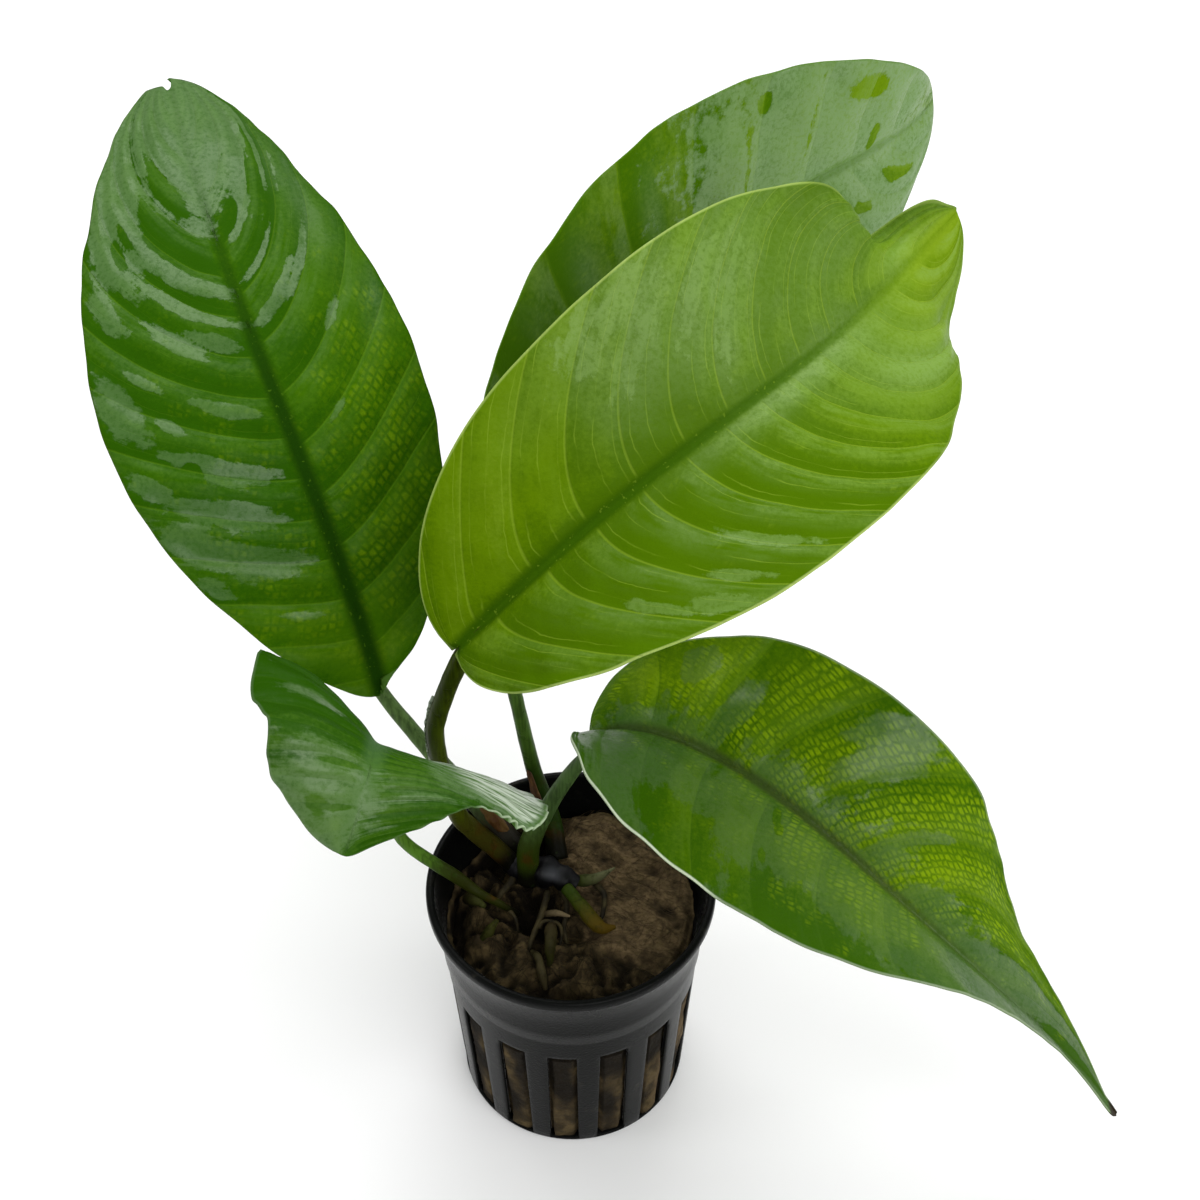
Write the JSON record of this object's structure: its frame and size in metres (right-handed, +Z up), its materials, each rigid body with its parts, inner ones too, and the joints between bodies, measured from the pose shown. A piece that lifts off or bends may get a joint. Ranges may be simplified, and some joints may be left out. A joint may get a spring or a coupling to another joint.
{
  "type": "anubias heterophylla plant in net pot",
  "caption": "Broad-leaved aquarium plant: long-stalked pointed blades rising from a short rhizome set in mineral wool, in a round slotted net pot.",
  "frame": {"origin": "centre of the pot's flat underside", "axes": "+Z up along the pot's axis, -Y toward the front, where the low leaf points and the right leaf droops, +X to the right"},
  "size_m": [0.1771, 0.1506, 0.1663],
  "materials": {
    "pot_plastic": "matte black-grey",
    "mineral_wool": "wet brown fibre",
    "rhizome_skin": "dark, wet",
    "stalk_grey_green": "smooth",
    "stalk_green": "smooth",
    "stalk_olive": "smooth",
    "leaf_dark": "glossy dark green",
    "leaf_young": "glossy yellow-green",
    "dry_sheath": "dry, papery",
    "shoot_green": "smooth",
    "stub_yellow": "smooth",
    "root_pale": "matte",
    "root_brown": "matte"
  },
  "bodies": {
    "root": {"net_pot": "pot_plastic", "rockwool_plug": "mineral_wool", "rhizome": "rhizome_skin", "stalk_tall_left": "stalk_grey_green", "stalk_back": "stalk_green", "stalk_front": "stalk_olive", "stalk_drooping_right": "stalk_grey_green", "stalk_low_front": "stalk_green", "blade_tall_left": "leaf_dark", "blade_back": "leaf_dark", "blade_front": "leaf_young", "blade_drooping_right": "leaf_dark", "blade_low_front": "leaf_dark", "dry_sheath_left": "dry_sheath", "dry_sheath_back": "dry_sheath", "new_shoot": "shoot_green", "old_stalk_stub": "stub_yellow", "side_bud_upper": "stub_yellow", "side_bud_lower": "stub_yellow", "pale_root": "root_pale", "front_root": "root_brown", "left_root": "root_brown"}
  },
  "joints": []
}
